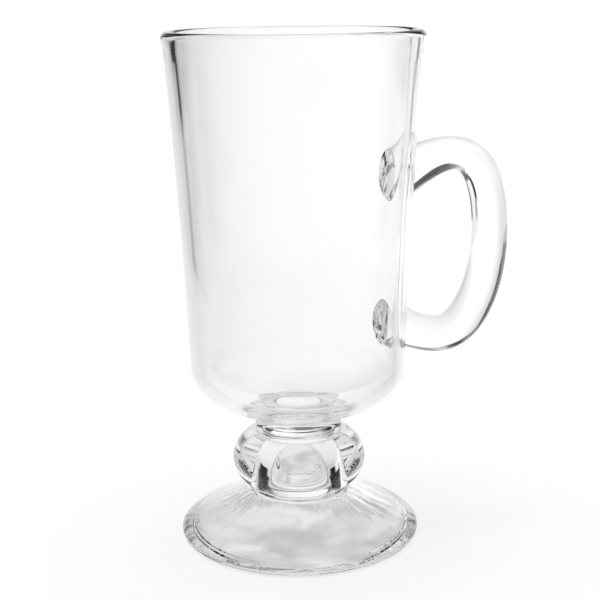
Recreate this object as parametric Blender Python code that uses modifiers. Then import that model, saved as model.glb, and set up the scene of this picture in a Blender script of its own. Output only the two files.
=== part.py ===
"""Clear plastic Irish coffee mug: a flared bowl, a loop handle, a cored knop and a hollow foot.

Units are metres, +Z is up and the mug stands on z = 0. The handle points along +X. Profiles are lists
of (radius, height) about the mug's own axis, which lies a little to -X so that the whole mug, handle
included, is centred over the origin.
"""

import math

import bmesh
import bpy
from mathutils import Vector
from mathutils.geometry import interpolate_bezier

# Joints: every bonded seam is a spigot in a socket, or a pad on a wall, with this film of cement
BOND_GAP = 0.0003

# Foot: a hollow cone on a flat ring
FOOT_RADIUS = 0.0366
FOOT_HEIGHT = 0.0151
FOOT_WALL = 0.0034
FOOT_LAND_RADIUS = 0.0153
FOOT_LAND_FILLET = 0.0009
FOOT_TOP_SAG = 0.0005
FOOT_RIM_THICK = 0.0039
FOOT_RIM_INSET = 0.0030
FOOT_RIM_WIDEST_Z = 0.0013
FOOT_EDGE_INSET = 0.0012
RING_WIDTH = 0.0036
RING_CHAMFER = 0.0004
RING_DEPTH = 0.0010

# Knop: a round bead with a drafted core up into it, whose top bulges down a little
KNOP_RADIUS = 0.0203
KNOP_BULGE = 0.0087
KNOP_BASE_RADIUS = 0.0152
CORE_TOP_RADIUS = 0.0088
CORE_BASE_RADIUS = 0.0096
CORE_MOUTH_FLARE = 0.0012
CORE_MOUTH_HEIGHT = 0.0024
CORE_ROOF = 0.0017
CORE_CORNER_ROUND = 0.0015
CORE_TOP_SAG = 0.0008
LOWER_SPIGOT_RADIUS = 0.0120
LOWER_SPIGOT_LENGTH = 0.0032
UPPER_SPIGOT_RADIUS = 0.0103
UPPER_SPIGOT_LENGTH = 0.0022

# Bowl: a flared wall on a rounded bottom, with a short neck under it
NECK_RADIUS = 0.0132
NECK_LENGTH = 0.0047
BOWL_HEIGHT = 0.1150
BOWL_BASE_RADIUS = 0.0324
BOWL_LIP_RADIUS = 0.0378
BOWL_WALL = 0.0031
BOWL_FLARE_SAG = 0.0006
BOWL_CORNER_DEPTH = 0.01625
BOWL_FLOOR = 0.0030
LIP_ROUND = 0.0017
LIP_PROUD = 0.0004

# Handle: heights are above the bowl's lowest point, reaches are out from the bowl's wall
UPPER_ROOT_Z = 0.0701
LOWER_ROOT_Z = 0.0259
CREST_Z = 0.0765
GRIP_Z = 0.0495
TROUGH_Z = 0.0192
CREST_REACH = 0.0188
GRIP_REACH = 0.0347
TROUGH_REACH = 0.0184
ROOT_SINK = 0.0030
UPPER_ROOT_HEIGHT = 0.0162
LOWER_ROOT_HEIGHT = 0.0164
CREST_THICK = 0.0094
GRIP_THICK = 0.0106
TROUGH_THICK = 0.0114
GRIP_WIDTH = 0.0130
ROOT_WIDTH = 0.0120
UPPER_FLARE_LENGTH = 0.0250
LOWER_FLARE_LENGTH = 0.0100

# How far the handle's curve runs straight on at a root, the crest, its shoulders and the grip, as shares of the run
ROOT_EASE = 0.34
CREST_EASE = 0.37
SHOULDER_EASE = 0.68
GRIP_EASE = 0.58

# Fineness of the round surfaces
TURN_STEPS = 48
CORNER_STEPS = 9
WALL_STEPS = 6
LIP_STEPS = 7
BEAD_STEPS = 12
CONE_STEPS = 5
BEND_STEPS = 4
HANDLE_STEPS = 9
HANDLE_SIDES = 20

# Heights of the stack, from the table up
KNOP_SHOULDER_Z = FOOT_HEIGHT + BOND_GAP
BEAD_RING_RADIUS = KNOP_RADIUS - KNOP_BULGE
KNOP_Z = KNOP_SHOULDER_Z + math.sqrt(KNOP_BULGE**2 - (KNOP_BASE_RADIUS - BEAD_RING_RADIUS) ** 2)
KNOP_CROWN_Z = KNOP_Z + KNOP_BULGE
NECK_END_Z = KNOP_CROWN_Z + BOND_GAP
BOWL_BASE_Z = NECK_END_Z + NECK_LENGTH
BOWL_CORNER_Z = BOWL_BASE_Z + BOWL_CORNER_DEPTH
BOWL_TOP_Z = BOWL_BASE_Z + BOWL_HEIGHT
LIP_Z = BOWL_TOP_Z - LIP_ROUND


def swept_share(start, end, steps):
    """Evenly spaced values from start to end, both included."""
    return [start + (end - start) * i / steps for i in range(steps + 1)]


def arc(centre_r, centre_z, radius, start, end, steps):
    """Points on a circle, with the angles in radians from the outward direction."""
    angles = swept_share(start, end, steps)
    return [(centre_r + radius * math.cos(a), centre_z + radius * math.sin(a)) for a in angles]


def bend(start, corner, end, steps):
    """A rounded corner: the curve that leaves start and reaches end aiming at corner."""
    points = []
    for t in swept_share(0.0, 1.0, steps):
        near, middle, far = (1 - t) ** 2, 2 * t * (1 - t), t**2
        points.append(tuple(near * a + middle * b + far * c for a, b, c in zip(start, corner, end)))
    return points


def sagged(start, end, sag, steps):
    """A nearly straight run whose middle lies below its chord by sag, measured along the second value."""
    points = []
    for t in swept_share(0.0, 1.0, steps):
        first = start[0] + (end[0] - start[0]) * t
        second = start[1] + (end[1] - start[1]) * t - 4 * sag * t * (1 - t)
        points.append((first, second))
    return points


def wall_radius(z, inset=0.0):
    """Outer radius of the bowl's wall at height z, less an inset."""
    top_radius = BOWL_LIP_RADIUS - LIP_PROUD
    t = (z - BOWL_CORNER_Z) / (LIP_Z - BOWL_CORNER_Z)
    return BOWL_BASE_RADIUS + (top_radius - BOWL_BASE_RADIUS) * t - 4 * BOWL_FLARE_SAG * t * (1 - t) - inset


def wall_line(inset):
    """The wall from its lower end up to the lip."""
    return [(wall_radius(z, inset), z) for z in swept_share(BOWL_CORNER_Z, LIP_Z, WALL_STEPS)]


def bowl_corner(radius, depth, least_radius):
    """The rounded bottom from the wall down and in to least_radius, as a quarter of an ellipse."""
    last = math.acos(least_radius / radius)
    points = []
    for angle in swept_share(0.0, last, CORNER_STEPS):
        points.append((radius * math.cos(angle), BOWL_CORNER_Z - depth * math.sin(angle)))
    points[-1] = (least_radius, points[-1][1])
    return points


def clear_material(name, roughness):
    """Clear moulded acrylic."""
    material = bpy.data.materials.new(name)
    material.use_nodes = True
    shader = material.node_tree.nodes["Principled BSDF"]
    shader.inputs["Base Color"].default_value = (0.96, 0.97, 0.97, 1.0)
    shader.inputs["Metallic"].default_value = 0.0
    shader.inputs["Roughness"].default_value = roughness
    shader.inputs["IOR"].default_value = 1.49
    shader.inputs["Transmission Weight"].default_value = 1.0
    return material


def add_object(name, mesh, collection, axis, material=None):
    """Link a mesh as a named object that hangs on the mug's axis."""
    if material:
        mesh.materials.append(material)
    piece = bpy.data.objects.new(name, mesh)
    piece.parent = axis
    collection.objects.link(piece)
    return piece


def turned(name, profile, closed, collection, axis, material=None):
    """A body of revolution. The profile runs down its outer side; a closed one makes a ring."""
    edges = [(i, i + 1) for i in range(len(profile) - 1)]
    if closed:
        edges.append((len(profile) - 1, 0))
    mesh = bpy.data.meshes.new(name)
    mesh.from_pydata([(r, 0.0, z) for r, z in profile], edges, [])
    piece = add_object(name, mesh, collection, axis, material)
    screw = piece.modifiers.new("turn", "SCREW")
    screw.axis = "Z"
    screw.angle = 2 * math.pi
    screw.steps = TURN_STEPS
    screw.render_steps = TURN_STEPS
    screw.use_merge_vertices = True
    screw.merge_threshold = 0.00001
    return piece


def foot_profile():
    """The hollow foot, from the inner edge of the land its knop stands on, down and round."""
    hole = LOWER_SPIGOT_RADIUS + BOND_GAP
    cone_top = (FOOT_LAND_RADIUS + FOOT_LAND_FILLET / 2, FOOT_HEIGHT - FOOT_LAND_FILLET)
    shoulder = (FOOT_RADIUS - FOOT_RIM_INSET, FOOT_RIM_THICK)
    slope = math.atan2(cone_top[1] - shoulder[1], shoulder[0] - cone_top[0])
    drop = FOOT_WALL / math.cos(slope)
    ring_outer = FOOT_RADIUS - FOOT_EDGE_INSET
    ring_inner = ring_outer - RING_WIDTH
    widest = (FOOT_RADIUS, FOOT_RIM_WIDEST_Z)
    rim_aim = (FOOT_RADIUS, shoulder[1] - (FOOT_RADIUS - shoulder[0]) * math.tan(slope))

    top = sagged(cone_top, shoulder, FOOT_TOP_SAG, CONE_STEPS)
    profile = [(hole, FOOT_HEIGHT), (FOOT_LAND_RADIUS, FOOT_HEIGHT)]
    profile += top[:-1]
    profile += bend(shoulder, rim_aim, widest, BEND_STEPS)[:-1]
    profile += bend(widest, (FOOT_RADIUS, 0.0), (ring_outer, 0.0), BEND_STEPS)
    profile += [(ring_inner + RING_CHAMFER, 0.0), (ring_inner, RING_CHAMFER), (ring_inner, RING_DEPTH)]
    under_start = (ring_inner - RING_CHAMFER, shoulder[1] - drop + RING_DEPTH + RING_CHAMFER)
    under_end = (hole, FOOT_HEIGHT - drop)
    profile += sagged(under_start, under_end, FOOT_TOP_SAG, CONE_STEPS)
    return profile


def knop_profile():
    """The bead with a spigot at each end, from the top of the upper one down and up into the core."""
    crown = math.acos((UPPER_SPIGOT_RADIUS - BEAD_RING_RADIUS) / KNOP_BULGE)
    base = -math.acos((KNOP_BASE_RADIUS - BEAD_RING_RADIUS) / KNOP_BULGE)
    spigot_top = KNOP_CROWN_Z + UPPER_SPIGOT_LENGTH
    spigot_end = KNOP_SHOULDER_Z - LOWER_SPIGOT_LENGTH

    core_top = spigot_top - CORE_ROOF
    corner = (CORE_TOP_RADIUS, core_top)

    profile = [(0.0, spigot_top), (UPPER_SPIGOT_RADIUS, spigot_top)]
    profile += arc(BEAD_RING_RADIUS, KNOP_Z, KNOP_BULGE, crown, base, BEAD_STEPS)
    profile += [(LOWER_SPIGOT_RADIUS, KNOP_SHOULDER_Z), (LOWER_SPIGOT_RADIUS, spigot_end)]
    mouth = (CORE_BASE_RADIUS + CORE_MOUTH_FLARE, spigot_end)
    throat = (CORE_BASE_RADIUS, spigot_end + CORE_MOUTH_HEIGHT)
    profile += bend(mouth, (CORE_BASE_RADIUS, spigot_end), throat, BEND_STEPS)
    corner_start = (CORE_TOP_RADIUS, core_top - CORE_CORNER_ROUND)
    roof_radius = CORE_TOP_RADIUS - CORE_CORNER_ROUND
    profile += bend(corner_start, corner, (roof_radius, core_top), BEND_STEPS)
    for share in swept_share(1.0, 0.0, BEND_STEPS)[1:]:
        profile.append((roof_radius * share, core_top - CORE_TOP_SAG * (1 - share**2)))
    return profile


def bowl_profile():
    """The bowl, from its floor up the inside, over the lip, down the outside and into the neck's socket."""
    inner = bowl_corner(BOWL_BASE_RADIUS - BOWL_WALL, BOWL_CORNER_DEPTH - BOWL_FLOOR, 0.0)
    inner_wall = wall_line(BOWL_WALL)
    outer_wall = wall_line(0.0)
    outer = bowl_corner(BOWL_BASE_RADIUS, BOWL_CORNER_DEPTH, NECK_RADIUS)
    lip_centre = BOWL_LIP_RADIUS - LIP_ROUND
    socket = UPPER_SPIGOT_RADIUS + BOND_GAP
    socket_end = KNOP_CROWN_Z + UPPER_SPIGOT_LENGTH + BOND_GAP

    profile = inner[::-1] + inner_wall[1:-1]
    profile += arc(lip_centre, LIP_Z, LIP_ROUND, math.pi, 0.0, LIP_STEPS)
    profile += outer_wall[::-1][1:-1] + outer
    profile += [(NECK_RADIUS, NECK_END_Z), (socket, NECK_END_Z), (socket, socket_end), (0.0, socket_end)]
    return profile


def handle_path():
    """The handle's centre line as (reach from the mug's axis, height), from the upper root to the lower."""
    heights = [BOWL_BASE_Z + z for z in (UPPER_ROOT_Z, CREST_Z, GRIP_Z, TROUGH_Z, LOWER_ROOT_Z)]
    reaches = (-ROOT_SINK, CREST_REACH, GRIP_REACH, TROUGH_REACH, -ROOT_SINK)
    knots = [Vector((wall_radius(z) + reach, z, 0.0)) for z, reach in zip(heights, reaches)]
    upper, crest, grip, trough, lower = knots
    out = Vector((1.0, 0.0, 0.0))
    up = Vector((0.0, 1.0, 0.0))
    arm = out * (crest.x - upper.x) * CREST_EASE
    shoulder = out * (grip.x - crest.x) * SHOULDER_EASE
    palm = up * (crest.y - grip.y) * GRIP_EASE
    runs = (
        (upper, upper.lerp(crest, ROOT_EASE), crest - arm, crest),
        (crest, crest + shoulder, grip + palm, grip),
        (grip, grip - palm, trough + shoulder, trough),
        (trough, trough - arm, lower.lerp(trough, ROOT_EASE), lower),
    )
    path = [upper]
    for run in runs:
        path += interpolate_bezier(*run, HANDLE_STEPS)[1:]
    return path


def handle_sections(path):
    """(thickness, width) at each point of the path: flared at both roots, thinnest over the crest."""
    run = [0.0]
    for before, after in zip(path, path[1:]):
        run.append(run[-1] + (after - before).length)
    marks = [run[i * (HANDLE_STEPS - 1)] for i in range(5)]
    bar = [CREST_THICK, CREST_THICK, GRIP_THICK, TROUGH_THICK, TROUGH_THICK]
    sections = []
    for s in run:
        span = max(i for i in range(4) if s >= marks[i])
        share = (s - marks[span]) / (marks[span + 1] - marks[span])
        thick = bar[span] + (bar[span + 1] - bar[span]) * share
        from_upper = max(0.0, 1 - s / UPPER_FLARE_LENGTH) ** 2
        from_lower = max(0.0, 1 - (run[-1] - s) / LOWER_FLARE_LENGTH) ** 2
        thick += (UPPER_ROOT_HEIGHT - CREST_THICK) * from_upper
        thick += (LOWER_ROOT_HEIGHT - TROUGH_THICK) * from_lower
        width = GRIP_WIDTH + (ROOT_WIDTH - GRIP_WIDTH) * (from_upper + from_lower)
        sections.append((thick, width))
    return sections


def build_handle(collection, cutters, axis, material):
    """Loft oval sections along the centre line, then trim both roots to the bowl's wall."""
    path = handle_path()
    sections = handle_sections(path)
    solid = bmesh.new()
    rings = []
    for i, (point, (thick, width)) in enumerate(zip(path, sections)):
        along = path[min(i + 1, len(path) - 1)] - path[max(i - 1, 0)]
        across = Vector((-along.y, along.x, 0.0)).normalized()
        ring = []
        for side in range(HANDLE_SIDES):
            angle = 2 * math.pi * side / HANDLE_SIDES
            edge = point + across * (math.cos(angle) * thick / 2)
            ring.append(solid.verts.new((edge.x, math.sin(angle) * width / 2, edge.y)))
        rings.append(ring)
    for ring, following in zip(rings, rings[1:]):
        for a in range(HANDLE_SIDES):
            b = (a + 1) % HANDLE_SIDES
            solid.faces.new((ring[a], ring[b], following[b], following[a]))
    solid.faces.new(rings[0])
    solid.faces.new(rings[-1])
    bmesh.ops.recalc_face_normals(solid, faces=solid.faces)
    mesh = bpy.data.meshes.new("handle")
    solid.to_mesh(mesh)
    solid.free()
    mesh.shade_smooth()
    handle = add_object("handle", mesh, collection, axis, material)

    outside = bowl_corner(BOWL_BASE_RADIUS + BOND_GAP, BOWL_CORNER_DEPTH + BOND_GAP, 0.0)
    wall = wall_line(-BOND_GAP)[::-1]
    cutter = turned("bowl_outside", [(0.0, LIP_Z)] + wall[:-1] + outside, False, cutters, axis)
    cutter.hide_render = True
    cutter.display_type = "WIRE"
    trim = handle.modifiers.new("trim_to_wall", "BOOLEAN")
    trim.operation = "DIFFERENCE"
    trim.object = cutter
    return handle


def build_mug():
    """Make the four mouldings and centre them over the origin."""
    for old in list(bpy.data.objects):
        bpy.data.objects.remove(old)
    scene = bpy.context.scene
    parts = bpy.data.collections.new("irish_coffee_mug")
    cutters = bpy.data.collections.new("cutters")
    scene.collection.children.link(parts)
    scene.collection.children.link(cutters)

    handle_end = wall_radius(BOWL_BASE_Z + GRIP_Z) + GRIP_REACH + GRIP_THICK / 2
    axis = bpy.data.objects.new("mug_axis", None)
    axis.location = ((BOWL_LIP_RADIUS - handle_end) / 2, 0.0, 0.0)
    parts.objects.link(axis)

    turned("foot", foot_profile(), True, parts, axis, clear_material("foot_clear", 0.05))
    turned("knop", knop_profile(), False, parts, axis, clear_material("knop_clear", 0.02))
    turned("bowl", bowl_profile(), False, parts, axis, clear_material("bowl_clear", 0.02))
    build_handle(parts, cutters, axis, clear_material("handle_clear", 0.02))


build_mug()
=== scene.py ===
"""Looks of the clear acrylic Irish coffee mug: four bonded mouldings on a white table.

Sizes are in millimetres, as (radius, height) about the mug's own axis, and points are in metres.
"""

import math

import bpy
from mathutils import Matrix, Vector
from mathutils.geometry import interpolate_bezier


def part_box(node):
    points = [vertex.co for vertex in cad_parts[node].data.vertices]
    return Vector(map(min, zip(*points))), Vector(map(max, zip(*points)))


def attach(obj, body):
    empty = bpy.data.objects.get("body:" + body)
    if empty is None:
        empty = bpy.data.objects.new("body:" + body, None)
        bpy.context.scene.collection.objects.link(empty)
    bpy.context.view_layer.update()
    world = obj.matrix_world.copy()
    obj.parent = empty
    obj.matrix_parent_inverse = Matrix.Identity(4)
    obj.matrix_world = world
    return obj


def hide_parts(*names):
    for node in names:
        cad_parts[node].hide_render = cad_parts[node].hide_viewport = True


MM = 0.001

# Foot: a hollow cone on a flat ring
FOOT_RADIUS = 36.6
LAND_HEIGHT = 15.1
LAND_RADIUS = 15.3
LAND_ROUND = 0.9
FOOT_WALL = 3.4
FOOT_HOLLOWING = 0.5
RIM_SHOULDER = (33.6, 3.9)
RIM_WIDEST_HEIGHT = 1.3
RING_OUTER_RADIUS = 35.4
RING_INNER_RADIUS = 31.8
RING_CHAMFER = 0.4
RING_DEPTH = 1.0

# Knop: a bead with a core up into it, whose top bulges down a little
KNOP_RADIUS = 20.3
KNOP_HEIGHT = 23.32
KNOP_BULGE = 8.7
KNOP_BASE_RADIUS = 15.2
LOWER_SPIGOT_RADIUS = 12.0
LOWER_SPIGOT_END = 12.2
CORE_MOUTH = (10.8, 12.2)
CORE_THROAT = (9.6, 14.6)
CORE_TOP_RADIUS = 8.8
CORE_TOP_HEIGHT = 32.5
CORE_CORNER_ROUND = 1.5
CORE_TOP_SAG = 0.8
UPPER_SPIGOT_RADIUS = 10.3
UPPER_SPIGOT_TOP = 34.2

# Bowl: a flared wall on a rounded bottom, with the neck under it
NECK_RADIUS = 13.2
BOWL_BASE_HEIGHT = 37.0
BOWL_BASE_RADIUS = 32.4
BOWL_CORNER_DEPTH = 16.25
BOWL_WALL = 3.4
BOWL_FLOOR = 3.0
BOWL_FLARE_SAG = 0.6
BOWL_TOP = 152.0
LIP_RADIUS = 37.8
LIP_ROUND = 1.9
LIP_PROUD = 0.4

# Handle: heights, reaches out from the wall, and the bar's thickness in the plane of the loop
UPPER_ROOT_HEIGHT = 107.1
CREST_HEIGHT = 113.5
GRIP_HEIGHT = 86.5
TROUGH_HEIGHT = 55.9
LOWER_ROOT_HEIGHT = 62.9
CREST_REACH = 18.8
GRIP_REACH = 34.7
TROUGH_REACH = 18.4
ROOT_SINK = 3.0
UPPER_ROOT_THICK = 18.0
LOWER_ROOT_THICK = 16.4
CREST_THICK = 10.6
GRIP_THICK = 10.9
TROUGH_THICK = 12.0
GRIP_WIDTH = 13.0
ROOT_WIDTH = 12.0
UPPER_FLARE_LENGTH = 25.0
LOWER_FLARE_LENGTH = 10.0
ROOT_EASE = 0.34
CREST_EASE = 0.37
SHOULDER_EASE = 0.7
GRIP_EASE = 0.58
ROOT_SEAT_DEPTH = 0.05

# Acrylic: its colours, its index of refraction, the slow swell of its surface as wave and depth, and its haze
ACRYLIC_COLOUR = "FDFDFD"
SPECULAR_COLOUR = "B4B4B4"
ACRYLIC_IOR = 1.49
BODY_SWELL = (22.0, 0.004)
FOOT_SWELL = (7.0, 0.12)
HAZE_SPACING = 9.0
HAZE_RANGE = (0.35, 0.75)
HAZE_ROUGHNESS = 0.03

# Flow lines in the foot: how close they lie round the axis, and how deep they are
FLOW_LINES = 9.0
FLOW_DEPTH = 0.16

# Bonded faces: how far a face's normal has to point a way, and the slack in millimetres when they are picked
SQUARE_ON = 0.9
TURNED_TO = 0.2
TOUCH = 0.01
SPIGOT_SLACK = 0.1
NECK_SLACK = 0.05

# Fineness
TURN_STEPS = 180
CONE_STEPS = 16
RIM_STEPS = 10
RING_STEPS = 8
BEAD_STEPS = 48
THROAT_STEPS = 10
CORE_STEPS = 12
WALL_STEPS = 30
BOTTOM_STEPS = 40
LIP_STEPS = 20
SWEEP_STEPS = 12
SMOOTH_ANGLE = 30.0
WELD = 0.005
HANDLE_SIDES = 24
HANDLE_STEPS = 9
HANDLE_ROUNDING = 2

# Camera: millimetres from the mug's axis and above the table, degrees, and millimetres of lens and sensor
VIEW_TURN = 25.0
VIEW_DISTANCE = 360.34
VIEW_HEIGHT = 163.94
VIEW_PITCH = 14.22
VIEW_YAW = 0.1425
VIEW_ROLL = 0.7264
VIEW_LENS = 74.3
VIEW_SENSOR = 36.0
VIEW_NEAREST = 10.0

# Paper sweep under and behind the mug, as the camera faces it: its left and right edges, then its section
SWEEP_EDGES = (-260.0, 325.0)
SWEEP_FRONT = 600.0
SWEEP_BACK = 550.0
SWEEP_BEND = 120.0
SWEEP_TOP = 282.0
SHADOW_REACH = (90.0, 260.0)
SHADOW_CLEARED = 0.75
PAPER_DROP = 0.2
PAPER_COLOUR = "F4F4F4"

# Painted light and shade on the paper, which the acrylic shows: strengths across its flat part and its upright
# back, the painted shade beside the mug by distance, and the painted shadow of the foot with patches of painted
# light in it by radius, with their size and their greys
FLAT_LIGHT = ((-260.0, 0.74), (-120.0, 0.81), (-20.0, 0.97), (110.0, 1.06))
BACK_LIGHT = ((-260.0, 0.66), (-190.0, 0.74), (-110.0, 0.88), (-30.0, 1.02), (110.0, 1.08))
BACK_BEGINS = (330.0, 480.0)
SHADE_CENTRE = (215.0, 20.0)
SHADE = ((60.0, 0.55), (220.0, 1.0))
FOOT_SHADE = ((0.0, 0.9), (33.0, 1.0), (45.0, 0.0))
PAINTED_LIGHT_PATCHES = (17.0, 0.56, 0.86)
PATCH_WARP = 0.8
PATCH_RANGE = (0.35, 0.65)

# Room: greys by the angle from straight behind the mug, for bands of heights from the floor up, and the
# angles of height over which the bands meet. The dark gaps draw the dark lines in the clear walls.
ROOM_FLOOR = (
    (-180, 0.9), (-76, 0.82), (-64, 0.42), (-44, 0.42), (-39, 0.7), (-20, 0.85),
    (20, 0.95), (60, 0.85), (90, 0.9), (180, 0.85),
)
ROOM_EDGE = (
    (-180, 0.9), (-80, 0.8), (-70, 0.0), (-43.5, 0.0), (-41, 0.45), (-38, 0.6), (-30, 0.75), (30, 0.95),
    (33.5, 0.35), (36.5, 0.35), (40, 1.0), (50, 0.9), (58, 0.1), (74, 0.04), (84, 0.8), (180, 0.95),
)
ROOM_LOW = (
    (-180, 0.85), (-80, 0.8), (-70, 0.0), (-38, 0.0), (-35, 0.4), (-30, 0.65), (-25, 0.75), (24, 0.9),
    (27.5, 0.0), (32.5, 0.0), (36, 1.0), (50, 0.9), (57, 0.0), (74, 0.0), (84, 0.8), (150, 0.9), (180, 0.9),
)
ROOM_DRAPES = (
    (-180, 0.95), (-155, 0.95), (-115, 0.45), (-94, 0.3), (-88, 0.0), (-36, 0.0), (-26, 0.4), (-18, 0.1),
    (4, 0.1), (9, 0.7), (20, 0.6), (26, 0.2), (40, 0.0), (88, 0.0), (95, 0.4), (106, 0.15), (115, 0.5),
    (180, 0.85),
)
ROOM_HIGH = (
    (-180, 0.55), (-60, 0.45), (-45, 0.0), (-32, 0.02), (-24, 0.25), (-18, 0.02), (-6, 0.02),
    (3, 0.12), (7, 0.5), (16, 0.7), (24, 0.25), (45, 0.7), (90, 0.85), (120, 0.55), (180, 0.55),
)
ROOM_CEILING = ((-180, 0.75), (-48, 0.75), (-32, 0.06), (6, 0.06), (20, 0.75), (180, 0.75))
ROOM_MEETS = ((-9.2, -8.0), (-6.5, -4.5), (4.0, 7.0), (24.0, 28.0), (42.0, 50.0))

# Overhead softbox: metres, and watts
SOFTBOX_PLACE = (0.0, 0.1, 0.9)
SOFTBOX_SIZE = 0.6
SOFTBOX_POWER = 6.0
SOFTBOX_AIM_HEIGHT = 0.08

# Turns of a light path inside the clear mouldings
PATH_TURNS = 32
GLOSS_TURNS = 16

BOWL_CORNER_HEIGHT = BOWL_BASE_HEIGHT + BOWL_CORNER_DEPTH
LIP_HEIGHT = BOWL_TOP - LIP_ROUND
FACING = math.radians(VIEW_TURN)
BEAD_RING_RADIUS = KNOP_RADIUS - KNOP_BULGE
BEAD_CROWN = math.acos((NECK_RADIUS - BEAD_RING_RADIUS) / KNOP_BULGE)

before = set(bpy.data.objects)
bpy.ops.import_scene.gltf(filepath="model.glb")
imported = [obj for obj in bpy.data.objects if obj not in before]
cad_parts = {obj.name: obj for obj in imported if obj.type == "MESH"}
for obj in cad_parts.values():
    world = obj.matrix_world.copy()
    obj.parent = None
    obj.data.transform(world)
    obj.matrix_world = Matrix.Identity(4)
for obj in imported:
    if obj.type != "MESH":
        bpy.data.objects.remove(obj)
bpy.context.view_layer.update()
bowl_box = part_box("bowl")
AXIS_X = (bowl_box[0][0] + bowl_box[1][0]) / 2


# Section lines


def even(start, end, steps):
    """Evenly spaced values from start to end, both included."""
    return [start + (end - start) * i / steps for i in range(steps + 1)]


def arc(centre, radius, start, end, steps):
    """Points on a circle, with the angles in radians from the outward direction."""
    angles = even(start, end, steps)
    return [(centre[0] + radius * math.cos(a), centre[1] + radius * math.sin(a)) for a in angles]


def bend(start, corner, end, steps):
    """A rounded corner: the curve that leaves start and reaches end aiming at corner."""
    points = []
    for t in even(0.0, 1.0, steps):
        near, middle, far = (1 - t) ** 2, 2 * t * (1 - t), t**2
        points.append(tuple(near * a + middle * b + far * c for a, b, c in zip(start, corner, end)))
    return points


def hollowed(start, end, depth, steps):
    """A run whose middle lies below its chord by depth."""
    points = []
    for t in even(0.0, 1.0, steps):
        r = start[0] + (end[0] - start[0]) * t
        points.append((r, start[1] + (end[1] - start[1]) * t - 4 * depth * t * (1 - t)))
    return points


def wall_radius(height, inset=0.0):
    """Outer radius of the bowl's wall, less an inset."""
    t = (height - BOWL_CORNER_HEIGHT) / (LIP_HEIGHT - BOWL_CORNER_HEIGHT)
    straight = BOWL_BASE_RADIUS + (LIP_RADIUS - LIP_PROUD - BOWL_BASE_RADIUS) * t
    return straight - 4 * BOWL_FLARE_SAG * t * (1 - t) - inset


def wall_line(inset):
    """The wall from the rounded bottom up to the lip."""
    return [(wall_radius(z, inset), z) for z in even(BOWL_CORNER_HEIGHT, LIP_HEIGHT, WALL_STEPS)]


def bottom_line(radius, depth, least_radius):
    """The rounded bottom, from the wall down and in to least_radius."""
    angles = even(0.0, math.acos(least_radius / radius), BOTTOM_STEPS)
    return [(radius * math.cos(a), BOWL_CORNER_HEIGHT - depth * math.sin(a)) for a in angles]


def foot_outline():
    """Closed section of the foot, from the land's inner edge out, down and back under."""
    cone_top = (LAND_RADIUS + LAND_ROUND / 2, LAND_HEIGHT - LAND_ROUND)
    slope = math.atan2(cone_top[1] - RIM_SHOULDER[1], RIM_SHOULDER[0] - cone_top[0])
    drop = FOOT_WALL / math.cos(slope)
    widest = (FOOT_RADIUS, RIM_WIDEST_HEIGHT)
    rim_corner = (FOOT_RADIUS, RIM_SHOULDER[1] - (FOOT_RADIUS - RIM_SHOULDER[0]) * math.tan(slope))
    hollow_edge = (RING_INNER_RADIUS - RING_CHAMFER, RIM_SHOULDER[1] - drop + RING_DEPTH + RING_CHAMFER)
    outline = [(LOWER_SPIGOT_RADIUS, LAND_HEIGHT), (LAND_RADIUS, LAND_HEIGHT)]
    outline += hollowed(cone_top, RIM_SHOULDER, FOOT_HOLLOWING, CONE_STEPS)[:-1]
    outline += bend(RIM_SHOULDER, rim_corner, widest, RIM_STEPS)[:-1]
    outline += bend(widest, (FOOT_RADIUS, 0.0), (RING_OUTER_RADIUS, 0.0), RING_STEPS)
    outline += [(RING_INNER_RADIUS + RING_CHAMFER, 0.0), (RING_INNER_RADIUS, RING_CHAMFER)]
    outline += [(RING_INNER_RADIUS, RING_DEPTH)]
    outline += hollowed(hollow_edge, (LOWER_SPIGOT_RADIUS, LAND_HEIGHT - drop), FOOT_HOLLOWING, CONE_STEPS)
    return outline + outline[:1]


def knop_outline():
    """Section of the knop, from its upper spigot down the bead and up into the core."""
    base = -math.acos((KNOP_BASE_RADIUS - BEAD_RING_RADIUS) / KNOP_BULGE)
    bead = arc((BEAD_RING_RADIUS, KNOP_HEIGHT), KNOP_BULGE, BEAD_CROWN, base, BEAD_STEPS)
    core_top = CORE_TOP_HEIGHT
    roof_radius = CORE_TOP_RADIUS - CORE_CORNER_ROUND
    corner_foot = (CORE_TOP_RADIUS, core_top - CORE_CORNER_ROUND)
    outline = [(0.0, UPPER_SPIGOT_TOP), (UPPER_SPIGOT_RADIUS, UPPER_SPIGOT_TOP)]
    outline += [(UPPER_SPIGOT_RADIUS, bead[0][1])]
    outline += bead + [(KNOP_BASE_RADIUS, LAND_HEIGHT), (LOWER_SPIGOT_RADIUS, LAND_HEIGHT)]
    outline += [(LOWER_SPIGOT_RADIUS, LOWER_SPIGOT_END)]
    outline += bend(CORE_MOUTH, (CORE_THROAT[0], CORE_MOUTH[1]), CORE_THROAT, THROAT_STEPS)
    outline += bend(corner_foot, (CORE_TOP_RADIUS, core_top), (roof_radius, core_top), CORE_STEPS)
    for share in even(1.0, 0.0, CORE_STEPS)[1:]:
        outline.append((roof_radius * share, core_top - CORE_TOP_SAG * (1 - share**2)))
    return outline


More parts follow.
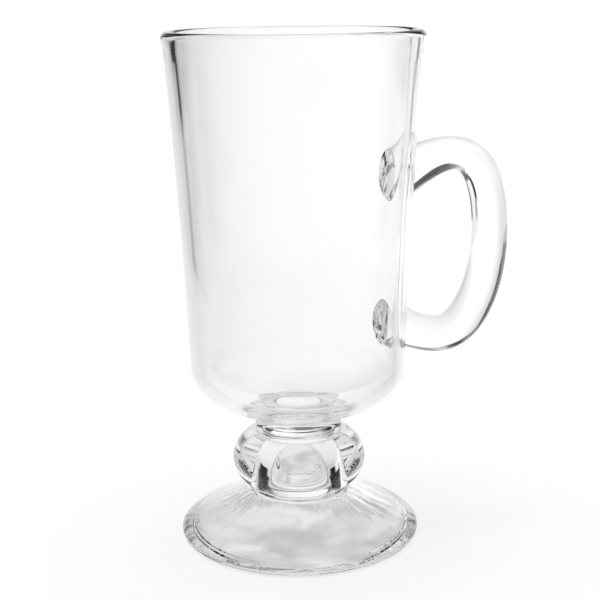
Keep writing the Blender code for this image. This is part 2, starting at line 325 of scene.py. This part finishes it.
def bowl_outline():
    """Section of the bowl: up the inside from its floor, over the lip, down the outside and into the socket."""
    neck_end = KNOP_HEIGHT + KNOP_BULGE * math.sin(BEAD_CROWN)
    inside = bottom_line(BOWL_BASE_RADIUS - BOWL_WALL, BOWL_CORNER_DEPTH - BOWL_FLOOR, 0.0)
    outside = bottom_line(BOWL_BASE_RADIUS, BOWL_CORNER_DEPTH, NECK_RADIUS)
    outline = inside[::-1] + wall_line(BOWL_WALL)[1:-1]
    outline += arc((LIP_RADIUS - LIP_ROUND, LIP_HEIGHT), LIP_ROUND, math.pi, 0.0, LIP_STEPS)
    outline += wall_line(0.0)[::-1][1:-1] + outside
    outline += [(NECK_RADIUS, neck_end), (UPPER_SPIGOT_RADIUS, neck_end)]
    return outline + [(UPPER_SPIGOT_RADIUS, UPPER_SPIGOT_TOP), (0.0, UPPER_SPIGOT_TOP)]


# Modelling


def at(radius, height):
    """A point of a section, drawn on the +X side of the mug's axis."""
    return Vector((AXIS_X + radius * MM, 0.0, height * MM))


def draw(name, points):
    """Draw a line edge by edge from a flattened plane, and leave it selected in edit mode."""
    bpy.ops.object.select_all(action="DESELECT")
    bpy.ops.mesh.primitive_plane_add(size=MM, location=points[0])
    piece = bpy.context.object
    piece.name = piece.data.name = name
    bpy.ops.object.mode_set(mode="EDIT")
    bpy.ops.mesh.select_all(action="SELECT")
    bpy.ops.mesh.merge(type="CENTER")
    for before, after in zip(points, points[1:]):
        bpy.ops.mesh.extrude_vertices_move(TRANSFORM_OT_translate={"value": after - before})
    bpy.ops.mesh.select_all(action="SELECT")
    return piece


def turn(name, outline):
    """Draw half a section, then spin it once round the mug's axis."""
    piece = draw(name, [at(*point) for point in outline])
    bpy.ops.mesh.spin(steps=TURN_STEPS, angle=2 * math.pi, center=(AXIS_X, 0.0, 0.0), axis=(0.0, 0.0, 1.0))
    bpy.ops.mesh.select_all(action="SELECT")
    bpy.ops.mesh.remove_doubles(threshold=WELD * MM)
    bpy.ops.mesh.normals_make_consistent(inside=False)
    bpy.ops.object.mode_set(mode="OBJECT")
    bpy.ops.object.transform_apply(location=True, rotation=True, scale=True)
    return piece


def pick(piece):
    """Select one piece alone and make it active."""
    bpy.ops.object.select_all(action="DESELECT")
    piece.select_set(True)
    bpy.context.view_layer.objects.active = piece


def smooth(piece):
    """Shade the curved faces round and keep the true edges."""
    pick(piece)
    bpy.ops.object.shade_smooth_by_angle(angle=math.radians(SMOOTH_ANGLE))


def cement(piece, is_bonded):
    """Give the seam material to the faces that is_bonded picks by radius, height and the normal's turn."""
    pick(piece)
    bpy.ops.object.mode_set(mode="EDIT")
    bpy.ops.mesh.select_all(action="DESELECT")
    bpy.ops.object.mode_set(mode="OBJECT")
    for face in piece.data.polygons:
        spoke = Vector((face.center.x - AXIS_X, face.center.y, 0.0))
        outward = face.normal.dot(spoke.normalized())
        face.select = is_bonded(spoke.length / MM, face.center.z / MM, outward, face.normal.z)
    piece.active_material_index = 1
    bpy.ops.object.mode_set(mode="EDIT")
    bpy.ops.object.material_slot_assign()
    bpy.ops.object.mode_set(mode="OBJECT")


def cut_away(piece, cutter):
    """Cut one solid out of another. The cut faces keep the cutter's material."""
    pick(piece)
    cut = piece.modifiers.new("cut", "BOOLEAN")
    cut.operation = "DIFFERENCE"
    cut.solver = "EXACT"
    cut.material_mode = "TRANSFER"
    cut.object = cutter
    bpy.ops.object.modifier_apply(modifier=cut.name)


def handle_line():
    """The loop's centre line as (reach from the axis, height), with the bar's thickness and width there."""
    heights = (UPPER_ROOT_HEIGHT, CREST_HEIGHT, GRIP_HEIGHT, TROUGH_HEIGHT, LOWER_ROOT_HEIGHT)
    reaches = (-ROOT_SINK, CREST_REACH, GRIP_REACH, TROUGH_REACH, -ROOT_SINK)
    knots = [Vector((wall_radius(z) + reach, z, 0.0)) for z, reach in zip(heights, reaches)]
    upper, crest, grip, trough, lower = knots
    arm = Vector(((crest.x - upper.x) * CREST_EASE, 0.0, 0.0))
    shoulder = Vector(((grip.x - crest.x) * SHOULDER_EASE, 0.0, 0.0))
    palm = Vector((0.0, (crest.y - grip.y) * GRIP_EASE, 0.0))
    runs = (
        (upper, upper.lerp(crest, ROOT_EASE), crest - arm, crest),
        (crest, crest + shoulder, grip + palm, grip),
        (grip, grip - palm, trough + shoulder, trough),
        (trough, trough - arm, lower.lerp(trough, ROOT_EASE), lower),
    )
    line = [upper]
    for run in runs:
        line += interpolate_bezier(*run, HANDLE_STEPS)[1:]

    travelled = [0.0]
    for before, after in zip(line, line[1:]):
        travelled.append(travelled[-1] + (after - before).length)
    marks = travelled[:: HANDLE_STEPS - 1]
    bar = (CREST_THICK, CREST_THICK, GRIP_THICK, TROUGH_THICK, TROUGH_THICK)
    sizes = []
    for s in travelled:
        span = max(i for i in range(len(runs)) if s >= marks[i])
        share = (s - marks[span]) / (marks[span + 1] - marks[span])
        at_upper = max(0.0, 1 - s / UPPER_FLARE_LENGTH) ** 2
        at_lower = max(0.0, 1 - (travelled[-1] - s) / LOWER_FLARE_LENGTH) ** 2
        thick = bar[span] + (bar[span + 1] - bar[span]) * share
        thick += (UPPER_ROOT_THICK - CREST_THICK) * at_upper + (LOWER_ROOT_THICK - TROUGH_THICK) * at_lower
        sizes.append((thick, GRIP_WIDTH + (ROOT_WIDTH - GRIP_WIDTH) * (at_upper + at_lower)))
    return line, sizes


def pull_handle():
    """Start from an oval at the upper root and pull it along the loop, turned and resized at each step."""
    line, sizes = handle_line()
    places = [at(point.x, point.y) for point in line]
    along = [after - before for before, after in zip(line[:1] + line, line[1:] + line[-1:])]
    slants = [math.atan2(step.y, step.x) for step in along]
    for i in range(1, len(slants)):
        while slants[i] > slants[i - 1] + math.pi:
            slants[i] -= 2 * math.pi
    bpy.ops.object.select_all(action="DESELECT")
    bpy.ops.mesh.primitive_circle_add(vertices=HANDLE_SIDES, radius=MM, fill_type="NGON", location=places[0])
    handle = bpy.context.object
    handle.name = handle.data.name = "acrylic_handle"
    bpy.ops.object.mode_set(mode="EDIT")
    bpy.ops.mesh.select_all(action="SELECT")
    thick, width = sizes[0]
    bpy.ops.transform.resize(value=(thick / 2, width / 2, 1.0), center_override=places[0])
    turn_ring(math.pi / 2 - slants[0], places[0])
    for i in range(1, len(places)):
        bpy.ops.mesh.extrude_region_move(TRANSFORM_OT_translate={"value": places[i] - places[i - 1]})
        turn_ring(slants[i - 1] - slants[i], places[i])
        thicker, wider = sizes[i][0] / sizes[i - 1][0], sizes[i][1] / sizes[i - 1][1]
        bpy.ops.transform.resize(value=(thicker, wider, thicker), center_override=places[i])
    bpy.ops.mesh.select_all(action="SELECT")
    bpy.ops.mesh.normals_make_consistent(inside=False)
    bpy.ops.object.mode_set(mode="OBJECT")
    bpy.ops.object.transform_apply(location=True, rotation=True, scale=True)
    round_off = handle.modifiers.new("round_off", "SUBSURF")
    round_off.levels = round_off.render_levels = HANDLE_ROUNDING
    bpy.ops.object.modifier_apply(modifier=round_off.name)
    return handle


def turn_ring(angle, centre):
    """Tilt the selected ring about Y, from up towards +X. With no window the operator turns the other way."""
    bpy.ops.transform.rotate(value=-angle, orient_axis="Y", center_override=centre)


# Materials


def linear(hex_colour):
    """An sRGB hex colour as linear RGBA."""
    channels = [int(hex_colour[i : i + 2], 16) / 255 for i in (0, 2, 4)]
    return [c / 12.92 if c <= 0.04045 else ((c + 0.055) / 1.055) ** 2.4 for c in channels] + [1.0]


def node(tree, kind, settings=None, **inputs):
    """Add a node. Settings go on the node; an input is a value, or another node's output to link."""
    added = tree.nodes.new(kind)
    for name, value in (settings or {}).items():
        setattr(added, name, value)
    for name, value in inputs.items():
        socket = added.inputs[int(name[1:])] if name[0] == "_" else added.inputs[name.replace("_", " ")]
        if isinstance(value, bpy.types.NodeSocket):
            tree.links.new(value, socket)
        else:
            socket.default_value = value
    return added


def fresh_material(name):
    """An empty material and its output node."""
    material = bpy.data.materials.new(name)
    material.use_nodes = True
    tree = material.node_tree
    tree.nodes.clear()
    return material, tree, tree.nodes.new("ShaderNodeOutputMaterial")


def acrylic(name, swell_form, flow_depth):
    """Injection-moulded acrylic from a polished tool: water-clear and very glossy, with a faint slow swell.

    Flow lines run out from the mug's axis, as the melt does when it fills the mould. The grey specular tint
    holds back the reflections that face the eye, so that the dark lines in the walls stay dark.
    """
    material, tree, output = fresh_material(name)
    place = node(tree, "ShaderNodeTexCoord").outputs["Object"]
    wave, depth = swell_form
    swell = node(tree, "ShaderNodeTexNoise", Vector=place, Scale=1000.0 / wave, Detail=1.0)
    ripple = node(tree, "ShaderNodeBump", Strength=1.0, Distance=depth * MM, Height=swell.outputs["Fac"])
    spoke = node(tree, "ShaderNodeVectorMath", {"operation": "SUBTRACT"}, _0=place, _1=(AXIS_X, 0.0, 0.0))
    level = (1.0, 1.0, 0.0)
    flat = node(tree, "ShaderNodeVectorMath", {"operation": "MULTIPLY"}, _0=spoke.outputs[0], _1=level)
    way = node(tree, "ShaderNodeVectorMath", {"operation": "NORMALIZE"}, _0=flat.outputs[0])
    flow = node(tree, "ShaderNodeTexNoise", Vector=way.outputs[0], Scale=FLOW_LINES, Detail=2.0)
    lines = node(
        tree,
        "ShaderNodeBump",
        Strength=1.0,
        Distance=flow_depth * MM,
        Height=flow.outputs["Fac"],
        Normal=ripple.outputs["Normal"],
    )
    haze = node(tree, "ShaderNodeTexNoise", Vector=place, Scale=1000.0 / HAZE_SPACING, Detail=4.0)
    clear, dull = HAZE_RANGE
    gloss = node(
        tree, "ShaderNodeMapRange", Value=haze.outputs["Fac"], _1=clear, _2=dull, _3=0.0, _4=HAZE_ROUGHNESS
    )
    shader = node(
        tree,
        "ShaderNodeBsdfPrincipled",
        Base_Color=linear(ACRYLIC_COLOUR),
        Roughness=gloss.outputs["Result"],
        IOR=ACRYLIC_IOR,
        Specular_Tint=linear(SPECULAR_COLOUR),
        Transmission_Weight=1.0,
        Normal=lines.outputs["Normal"],
    )
    tree.links.new(shader.outputs[0], output.inputs["Surface"])
    return material


def clear_cement():
    """Solvent-bonded seam: the acrylic runs on through it, so light passes straight."""
    material, tree, output = fresh_material("solvent_cement_clear")
    straight = node(tree, "ShaderNodeBsdfTransparent", Color=(1.0, 1.0, 1.0, 1.0))
    tree.links.new(straight.outputs[0], output.inputs["Surface"])
    return material


polished = acrylic("moulded_acrylic_polished", BODY_SWELL, 0.0)
footed = acrylic("moulded_acrylic_foot", FOOT_SWELL, FLOW_DEPTH)
seam = clear_cement()


# Pieces


def land_and_bore(radius, height, outward, up):
    """The foot's land and the bore that the knop's lower spigot fills."""
    return radius < LAND_RADIUS and height > LOWER_SPIGOT_END and (up > SQUARE_ON or outward < -SQUARE_ON)


def spigots_and_shoulders(radius, height, outward, up):
    """The knop's two spigots, and the shoulders that meet the neck and the land."""
    if height > KNOP_HEIGHT:
        return radius < NECK_RADIUS and (up > TURNED_TO or outward > TURNED_TO)
    within = height < LAND_HEIGHT + TOUCH and radius > LOWER_SPIGOT_RADIUS - SPIGOT_SLACK
    return within and (up < -SQUARE_ON or outward > SQUARE_ON)


def neck_socket(radius, height, outward, up):
    """The end of the neck and the socket in it."""
    return height < UPPER_SPIGOT_TOP + TOUCH and radius < NECK_RADIUS - NECK_SLACK


foot = turn("acrylic_foot", foot_outline())
knop = turn("acrylic_knop", knop_outline())
bowl = turn("acrylic_bowl", bowl_outline())
handle = pull_handle()
seat_line = [(0.0, LIP_HEIGHT)] + wall_line(ROOT_SEAT_DEPTH)[::-1]
seat_line += bottom_line(BOWL_BASE_RADIUS - ROOT_SEAT_DEPTH, BOWL_CORNER_DEPTH - ROOT_SEAT_DEPTH, 0.0)[1:]
seat = turn("root_seat_cutter", seat_line)
seat.data.materials.append(seam)
for piece, clear in ((foot, footed), (knop, polished), (bowl, polished), (handle, polished)):
    piece.data.materials.append(clear)
    piece.data.materials.append(seam)
cut_away(handle, seat)
bpy.data.objects.remove(seat)
cut_away(bowl, handle)
cement(foot, land_and_bore)
cement(knop, spigots_and_shoulders)
cement(bowl, neck_socket)
for piece, node_name in ((foot, "foot"), (knop, "knop"), (bowl, "bowl"), (handle, "handle")):
    smooth(piece)
    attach(piece, "root")
    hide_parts(node_name)


# Studio


def paper_sweep():
    """White paper that lies under the mug and curves up behind it, as the camera faces it."""
    across = Vector((math.cos(FACING), -math.sin(FACING), 0.0))
    away = Vector((math.sin(FACING), math.cos(FACING), 0.0))
    section = [(-SWEEP_FRONT, 0.0)]
    section += arc((SWEEP_BACK - SWEEP_BEND, SWEEP_BEND), SWEEP_BEND, -math.pi / 2, 0.0, SWEEP_STEPS)
    section += [(SWEEP_BACK, SWEEP_TOP)]
    left, right = SWEEP_EDGES
    under = Vector((AXIS_X, 0.0, -PAPER_DROP * MM)) + across * left * MM
    points = [under + away * far * MM + Vector((0.0, 0.0, high * MM)) for far, high in section]
    sweep = draw("paper_sweep", points)
    bpy.ops.mesh.extrude_region_move(TRANSFORM_OT_translate={"value": across * (right - left) * MM})
    bpy.ops.object.mode_set(mode="OBJECT")
    bpy.ops.object.transform_apply(location=True, rotation=True, scale=True)
    smooth(sweep)
    sweep.data.materials.append(matt_paper())


def matt_paper():
    """Matt white paper, with painted light on it that is stronger towards the right.

    It is white straight on, with the mug's real shadow near it. Through the acrylic it is pale grey, with
    painted shade beside and under the mug and painted patches of light under the foot.
    """
    material, tree, output = fresh_material("matt_paper_white")
    place = node(tree, "ShaderNodeTexCoord").outputs["Object"]
    axis = (AXIS_X, 0.0, 0.0)
    spoke = node(tree, "ShaderNodeVectorMath", {"operation": "SUBTRACT"}, _0=place, _1=axis).outputs[0]
    about = {"rotation_type": "Z_AXIS"}
    faced = node(tree, "ShaderNodeVectorRotate", about, Vector=spoke, Angle=FACING).outputs[0]
    axes = node(tree, "ShaderNodeSeparateXYZ", Vector=faced).outputs
    # Painted light: the glow seen in the acrylic is stronger towards the right, on the flat part and on the
    # upright back
    flat = across_light(tree, axes["X"], FLAT_LIGHT)
    back = across_light(tree, axes["X"], BACK_LIGHT)
    start, end = BACK_BEGINS
    rise = node(tree, "ShaderNodeMapRange", Value=axes["Y"], _1=start * MM, _2=end * MM).outputs["Result"]
    light = node(tree, "ShaderNodeMix", {"data_type": "FLOAT"}, _0=rise, _2=flat, _3=back).outputs[0]
    # Painted shade beside the mug, darker towards a point to its right
    beside = (SHADE_CENTRE[0] * MM, SHADE_CENTRE[1] * MM, 0.0)
    apart = node(tree, "ShaderNodeVectorMath", {"operation": "DISTANCE"}, _0=faced, _1=beside).outputs["Value"]
    (close, dim), (clear, full) = SHADE
    shade = node(tree, "ShaderNodeMapRange", Value=apart, _1=close * MM, _2=clear * MM, _3=dim, _4=full)
    reach = node(tree, "ShaderNodeVectorMath", {"operation": "LENGTH"}, _0=faced).outputs["Value"]
    # Painted shadow of the foot, with painted patches of light in it, out to a set radius from the axis
    size, dull, bright = PAINTED_LIGHT_PATCHES
    patches = node(
        tree, "ShaderNodeTexNoise", Vector=place, Scale=1000.0 / size, Detail=1.0, Distortion=PATCH_WARP
    ).outputs["Fac"]
    least, most = PATCH_RANGE
    dimmed = node(tree, "ShaderNodeMapRange", Value=patches, _1=least, _2=most, _3=dull, _4=bright)
    outmost = FOOT_SHADE[-1][0]
    outward = node(tree, "ShaderNodeMapRange", Value=reach, _1=0.0, _2=outmost * MM).outputs["Result"]
    ring = ramp(tree, outward, [(radius / outmost, share) for radius, share in FOOT_SHADE])
    under = node(tree, "ShaderNodeMix", {"data_type": "FLOAT"}, _0=ring, _2=1.0, _3=dimmed.outputs["Result"])
    times = {"operation": "MULTIPLY"}
    level = light
    for factor in (shade, under):
        level = node(tree, "ShaderNodeMath", times, _0=level, _1=factor.outputs[0]).outputs[0]

    # Straight on, the paper glows plain white; in the acrylic it glows with the painted light and shade
    seen = node(tree, "ShaderNodeLightPath").outputs
    larger = {"operation": "MAXIMUM"}
    strength = node(tree, "ShaderNodeMath", larger, _0=level, _1=seen["Is Camera Ray"]).outputs[0]
    white = node(tree, "ShaderNodeEmission", Color=(1.0, 1.0, 1.0, 1.0), Strength=strength)
    lit = node(tree, "ShaderNodeBsdfDiffuse", Color=linear(PAPER_COLOUR))
    near, far = SHADOW_REACH
    share = node(tree, "ShaderNodeMapRange", Value=reach, _1=near * MM, _2=far * MM, _3=SHADOW_CLEARED, _4=1.0)
    direct = node(tree, "ShaderNodeMath", times, _0=seen["Is Camera Ray"], _1=share.outputs["Result"])
    through = node(tree, "ShaderNodeMath", larger, _0=seen["Is Glossy Ray"], _1=seen["Is Transmission Ray"])
    whiten = node(tree, "ShaderNodeMath", larger, _0=direct.outputs[0], _1=through.outputs[0])
    mixed = node(tree, "ShaderNodeMixShader", _0=whiten.outputs[0], _1=lit.outputs[0], _2=white.outputs[0])
    tree.links.new(mixed.outputs[0], output.inputs["Surface"])
    return material


def across_light(tree, place, stops):
    """Strength by the place across the paper. The stops are in millimetres, and the last is the strongest."""
    left, right, most = stops[0][0], stops[-1][0], stops[-1][1]
    along = node(tree, "ShaderNodeMapRange", Value=place, _1=left * MM, _2=right * MM).outputs["Result"]
    shares = ramp(tree, along, [((far - left) / (right - left), strength / most) for far, strength in stops])
    return node(tree, "ShaderNodeMath", {"operation": "MULTIPLY"}, _0=shares, _1=most).outputs[0]


def ramp(tree, share, stops):
    """A run of greys along a share from 0 to 1."""
    added = node(tree, "ShaderNodeValToRGB", Fac=share)
    elements = added.color_ramp.elements
    while len(elements) < len(stops):
        elements.new(0.5)
    for element, (place, grey) in zip(elements, stops):
        element.position = place
        element.color = (grey, grey, grey, 1.0)
    return added.outputs["Color"]


def studio_world():
    """A pale room with dark drapes behind and beside the paper, and a grey ceiling. The camera sees white."""
    world = bpy.data.worlds.new("studio")
    bpy.context.scene.world = world
    world.use_nodes = True
    tree = world.node_tree
    tree.nodes.clear()
    output = tree.nodes.new("ShaderNodeOutputWorld")
    way = node(tree, "ShaderNodeTexCoord").outputs["Generated"]
    about = {"rotation_type": "Z_AXIS"}
    faced = node(tree, "ShaderNodeVectorRotate", about, Vector=way, Angle=FACING).outputs[0]
    axes = node(tree, "ShaderNodeSeparateXYZ", Vector=faced).outputs
    aside = node(tree, "ShaderNodeMath", {"operation": "ARCTAN2"}, _0=axes["X"], _1=axes["Y"]).outputs[0]
    round_room = node(tree, "ShaderNodeMapRange", Value=aside, _1=-math.pi, _2=math.pi).outputs["Result"]
    height = node(tree, "ShaderNodeMath", {"operation": "ARCSINE"}, _0=axes["Z"]).outputs[0]
    bands = (ROOM_FLOOR, ROOM_EDGE, ROOM_LOW, ROOM_DRAPES, ROOM_HIGH, ROOM_CEILING)
    greys = [ramp(tree, round_room, [((angle + 180) / 360, grey) for angle, grey in band]) for band in bands]
    colour = greys[0]
    for above, ends in zip(greys[1:], ROOM_MEETS):
        start, end = (math.radians(angle) for angle in ends)
        share = node(tree, "ShaderNodeMapRange", Value=height, _1=start, _2=end).outputs["Result"]
        colour = node(tree, "ShaderNodeMix", {"data_type": "RGBA"}, _0=share, _6=colour, _7=above).outputs[2]
    lit = node(tree, "ShaderNodeBackground", Color=colour, Strength=1.0)
    white = node(tree, "ShaderNodeBackground", Color=(1.0, 1.0, 1.0, 1.0), Strength=1.0)
    direct = node(tree, "ShaderNodeLightPath").outputs["Is Camera Ray"]
    mixed = node(tree, "ShaderNodeMixShader", _0=direct, _1=lit.outputs[0], _2=white.outputs[0])
    tree.links.new(mixed.outputs[0], output.inputs["Surface"])


def softbox(name, place, size, watts):
    """A square soft lamp that faces the mug."""
    bpy.ops.object.light_add(type="AREA", location=place)
    lamp = bpy.context.object
    lamp.name = name
    lamp.data.size = size
    lamp.data.energy = watts
    lamp.visible_glossy = False
    lamp.visible_transmission = False
    aim = Vector((AXIS_X, 0.0, SOFTBOX_AIM_HEIGHT)) - Vector(place)
    lamp.rotation_euler = aim.to_track_quat("-Z", "Y").to_euler()


def photo_camera():
    """The camera that matches the photograph's outlines."""
    bpy.ops.object.camera_add()
    camera = bpy.context.object
    camera.data.lens = VIEW_LENS
    camera.data.sensor_width = VIEW_SENSOR
    camera.data.clip_start = VIEW_NEAREST * MM
    back = VIEW_DISTANCE * MM
    place = Vector((AXIS_X - back * math.sin(FACING), -back * math.cos(FACING), VIEW_HEIGHT * MM))
    camera.matrix_world = (
        Matrix.Translation(place)
        @ Matrix.Rotation(-FACING - math.radians(VIEW_YAW), 4, "Z")
        @ Matrix.Rotation(math.radians(90.0 - VIEW_PITCH), 4, "X")
        @ Matrix.Rotation(-math.radians(VIEW_ROLL), 4, "Z")
    )
    bpy.context.scene.camera = camera


paper_sweep()
studio_world()
softbox("overhead_softbox", SOFTBOX_PLACE, SOFTBOX_SIZE, SOFTBOX_POWER)
photo_camera()

# Light is turned back many times inside the clear mouldings before it leaves them
paths = bpy.context.scene.cycles
paths.max_bounces = paths.transmission_bounces = paths.transparent_max_bounces = PATH_TURNS
paths.glossy_bounces = GLOSS_TURNS
bpy.context.scene.view_settings.view_transform = "Standard"
